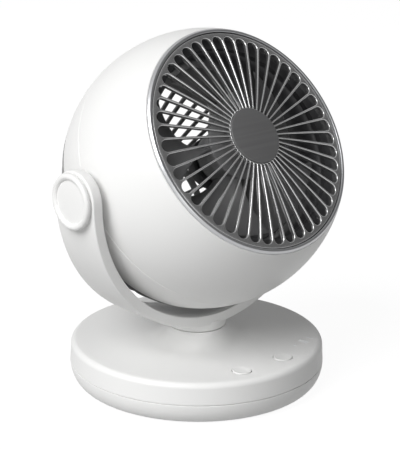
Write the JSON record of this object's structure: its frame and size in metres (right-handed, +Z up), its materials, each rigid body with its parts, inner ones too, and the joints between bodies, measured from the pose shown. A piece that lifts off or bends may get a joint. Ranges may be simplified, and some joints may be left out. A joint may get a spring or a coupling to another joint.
{
  "type": "air circulator fan",
  "caption": "Round desk air circulator: a ball-shaped head with a radial grille tilts in a U-shaped yoke that swings on a round base.",
  "frame": {"origin": "centre of the round underside, on the surface the fan stands on", "axes": "+Z up, the fan blows towards -Y at rest, the head's tilt axis along X"},
  "size_m": [0.225, 0.1885, 0.2521],
  "materials": {
    "white_plastic": "satin moulded",
    "dark_plastic": "satin moulded, dark grey",
    "silver_trim": "satin silver",
    "lamp_plastic": "translucent white",
    "rubber": "matt",
    "nylon": "natural",
    "board": "solder mask",
    "motor_metal": "zinc plated",
    "steel": "bright"
  },
  "bodies": {
    "base": {"base_top_shell": "white_plastic", "base_bottom_pan": "white_plastic", "non_slip_pad": "rubber", "base_screw_1": "steel", "base_screw_2": "steel", "base_screw_3": "steel", "base_screw_4": "steel", "counterweight": "steel", "control_board": "board", "power_board": "board", "power_inlet": "steel", "indicator_lens_1": "lamp_plastic", "indicator_lens_2": "lamp_plastic", "indicator_lens_3": "lamp_plastic", "tactile_switch_left": "dark_plastic", "tactile_switch_right": "dark_plastic", "swing_motor": "motor_metal", "spindle_bush": "nylon", "thrust_washer": "nylon"},
    "left_button": {"push_button_left": "white_plastic"},
    "right_button": {"push_button_right": "white_plastic"},
    "pinion": {"swing_pinion": "nylon"},
    "yoke": {"turntable_spindle": "nylon", "sector_gear": "nylon", "retaining_clip": "steel", "yoke_outer_shell": "white_plastic", "yoke_inner_cover": "white_plastic", "pivot_pin_left": "steel", "pivot_pin_right": "steel", "pivot_cap_left": "white_plastic", "pivot_cap_right": "white_plastic", "friction_washer_left": "rubber", "friction_washer_right": "rubber"},
    "head": {"front_shell": "white_plastic", "rear_shell": "white_plastic", "shell_screw_1": "steel", "shell_screw_2": "steel", "shell_screw_3": "steel", "shell_screw_4": "steel", "trim_ring": "silver_trim", "front_grille": "dark_plastic", "hub_cap": "dark_plastic", "air_duct": "dark_plastic", "duct_screw_1": "steel", "duct_screw_2": "steel", "duct_screw_3": "steel", "duct_screw_4": "steel", "motor_bracket": "dark_plastic", "motor_housing": "motor_metal", "motor_end_cap": "motor_metal", "motor_stator": "motor_metal", "motor_bearing_rear": "steel", "motor_bearing_front": "steel", "rear_grille": "dark_plastic", "pivot_hub_left": "white_plastic", "pivot_hub_right": "white_plastic"},
    "rotor": {"impeller": "dark_plastic", "impeller_nut": "steel", "motor_shaft": "steel", "motor_rotor": "steel"}
  },
  "joints": [
    {"name": "swing", "type": "hinge", "parent": "base", "child": "yoke", "pos_m": [0, 0, 0.0412], "axis": [0, 0, 1], "range_deg": [-40, 40]},
    {"name": "tilt", "type": "hinge", "parent": "yoke", "child": "head", "pos_m": [0, 0, 0.1518], "axis": [-1, 0, 0], "range_deg": [-48.5, 56.5]},
    {"name": "impeller_spin", "type": "hinge", "parent": "head", "child": "rotor", "pos_m": [0, 0, 0.1518], "axis": [0, -0.8339, 0.5519], "continuous": true},
    {"name": "pinion_spin", "type": "hinge", "parent": "base", "child": "pinion", "pos_m": [0, 0.03, 0.02], "axis": [0, 0, 1], "range_deg": [-160, 160]},
    {"name": "left_button_press", "type": "slide", "parent": "base", "child": "left_button", "axis": [0, 0, -1], "range_m": [0, 0.0008], "stiffness_N_per_m": 500, "springref_m": -0.001},
    {"name": "right_button_press", "type": "slide", "parent": "base", "child": "right_button", "axis": [0, 0, -1], "range_m": [0, 0.0008], "stiffness_N_per_m": 500, "springref_m": -0.001}
  ],
  "couplings": [
    {"joint": "pinion_spin", "follows": "swing", "ratio": -4}
  ]
}
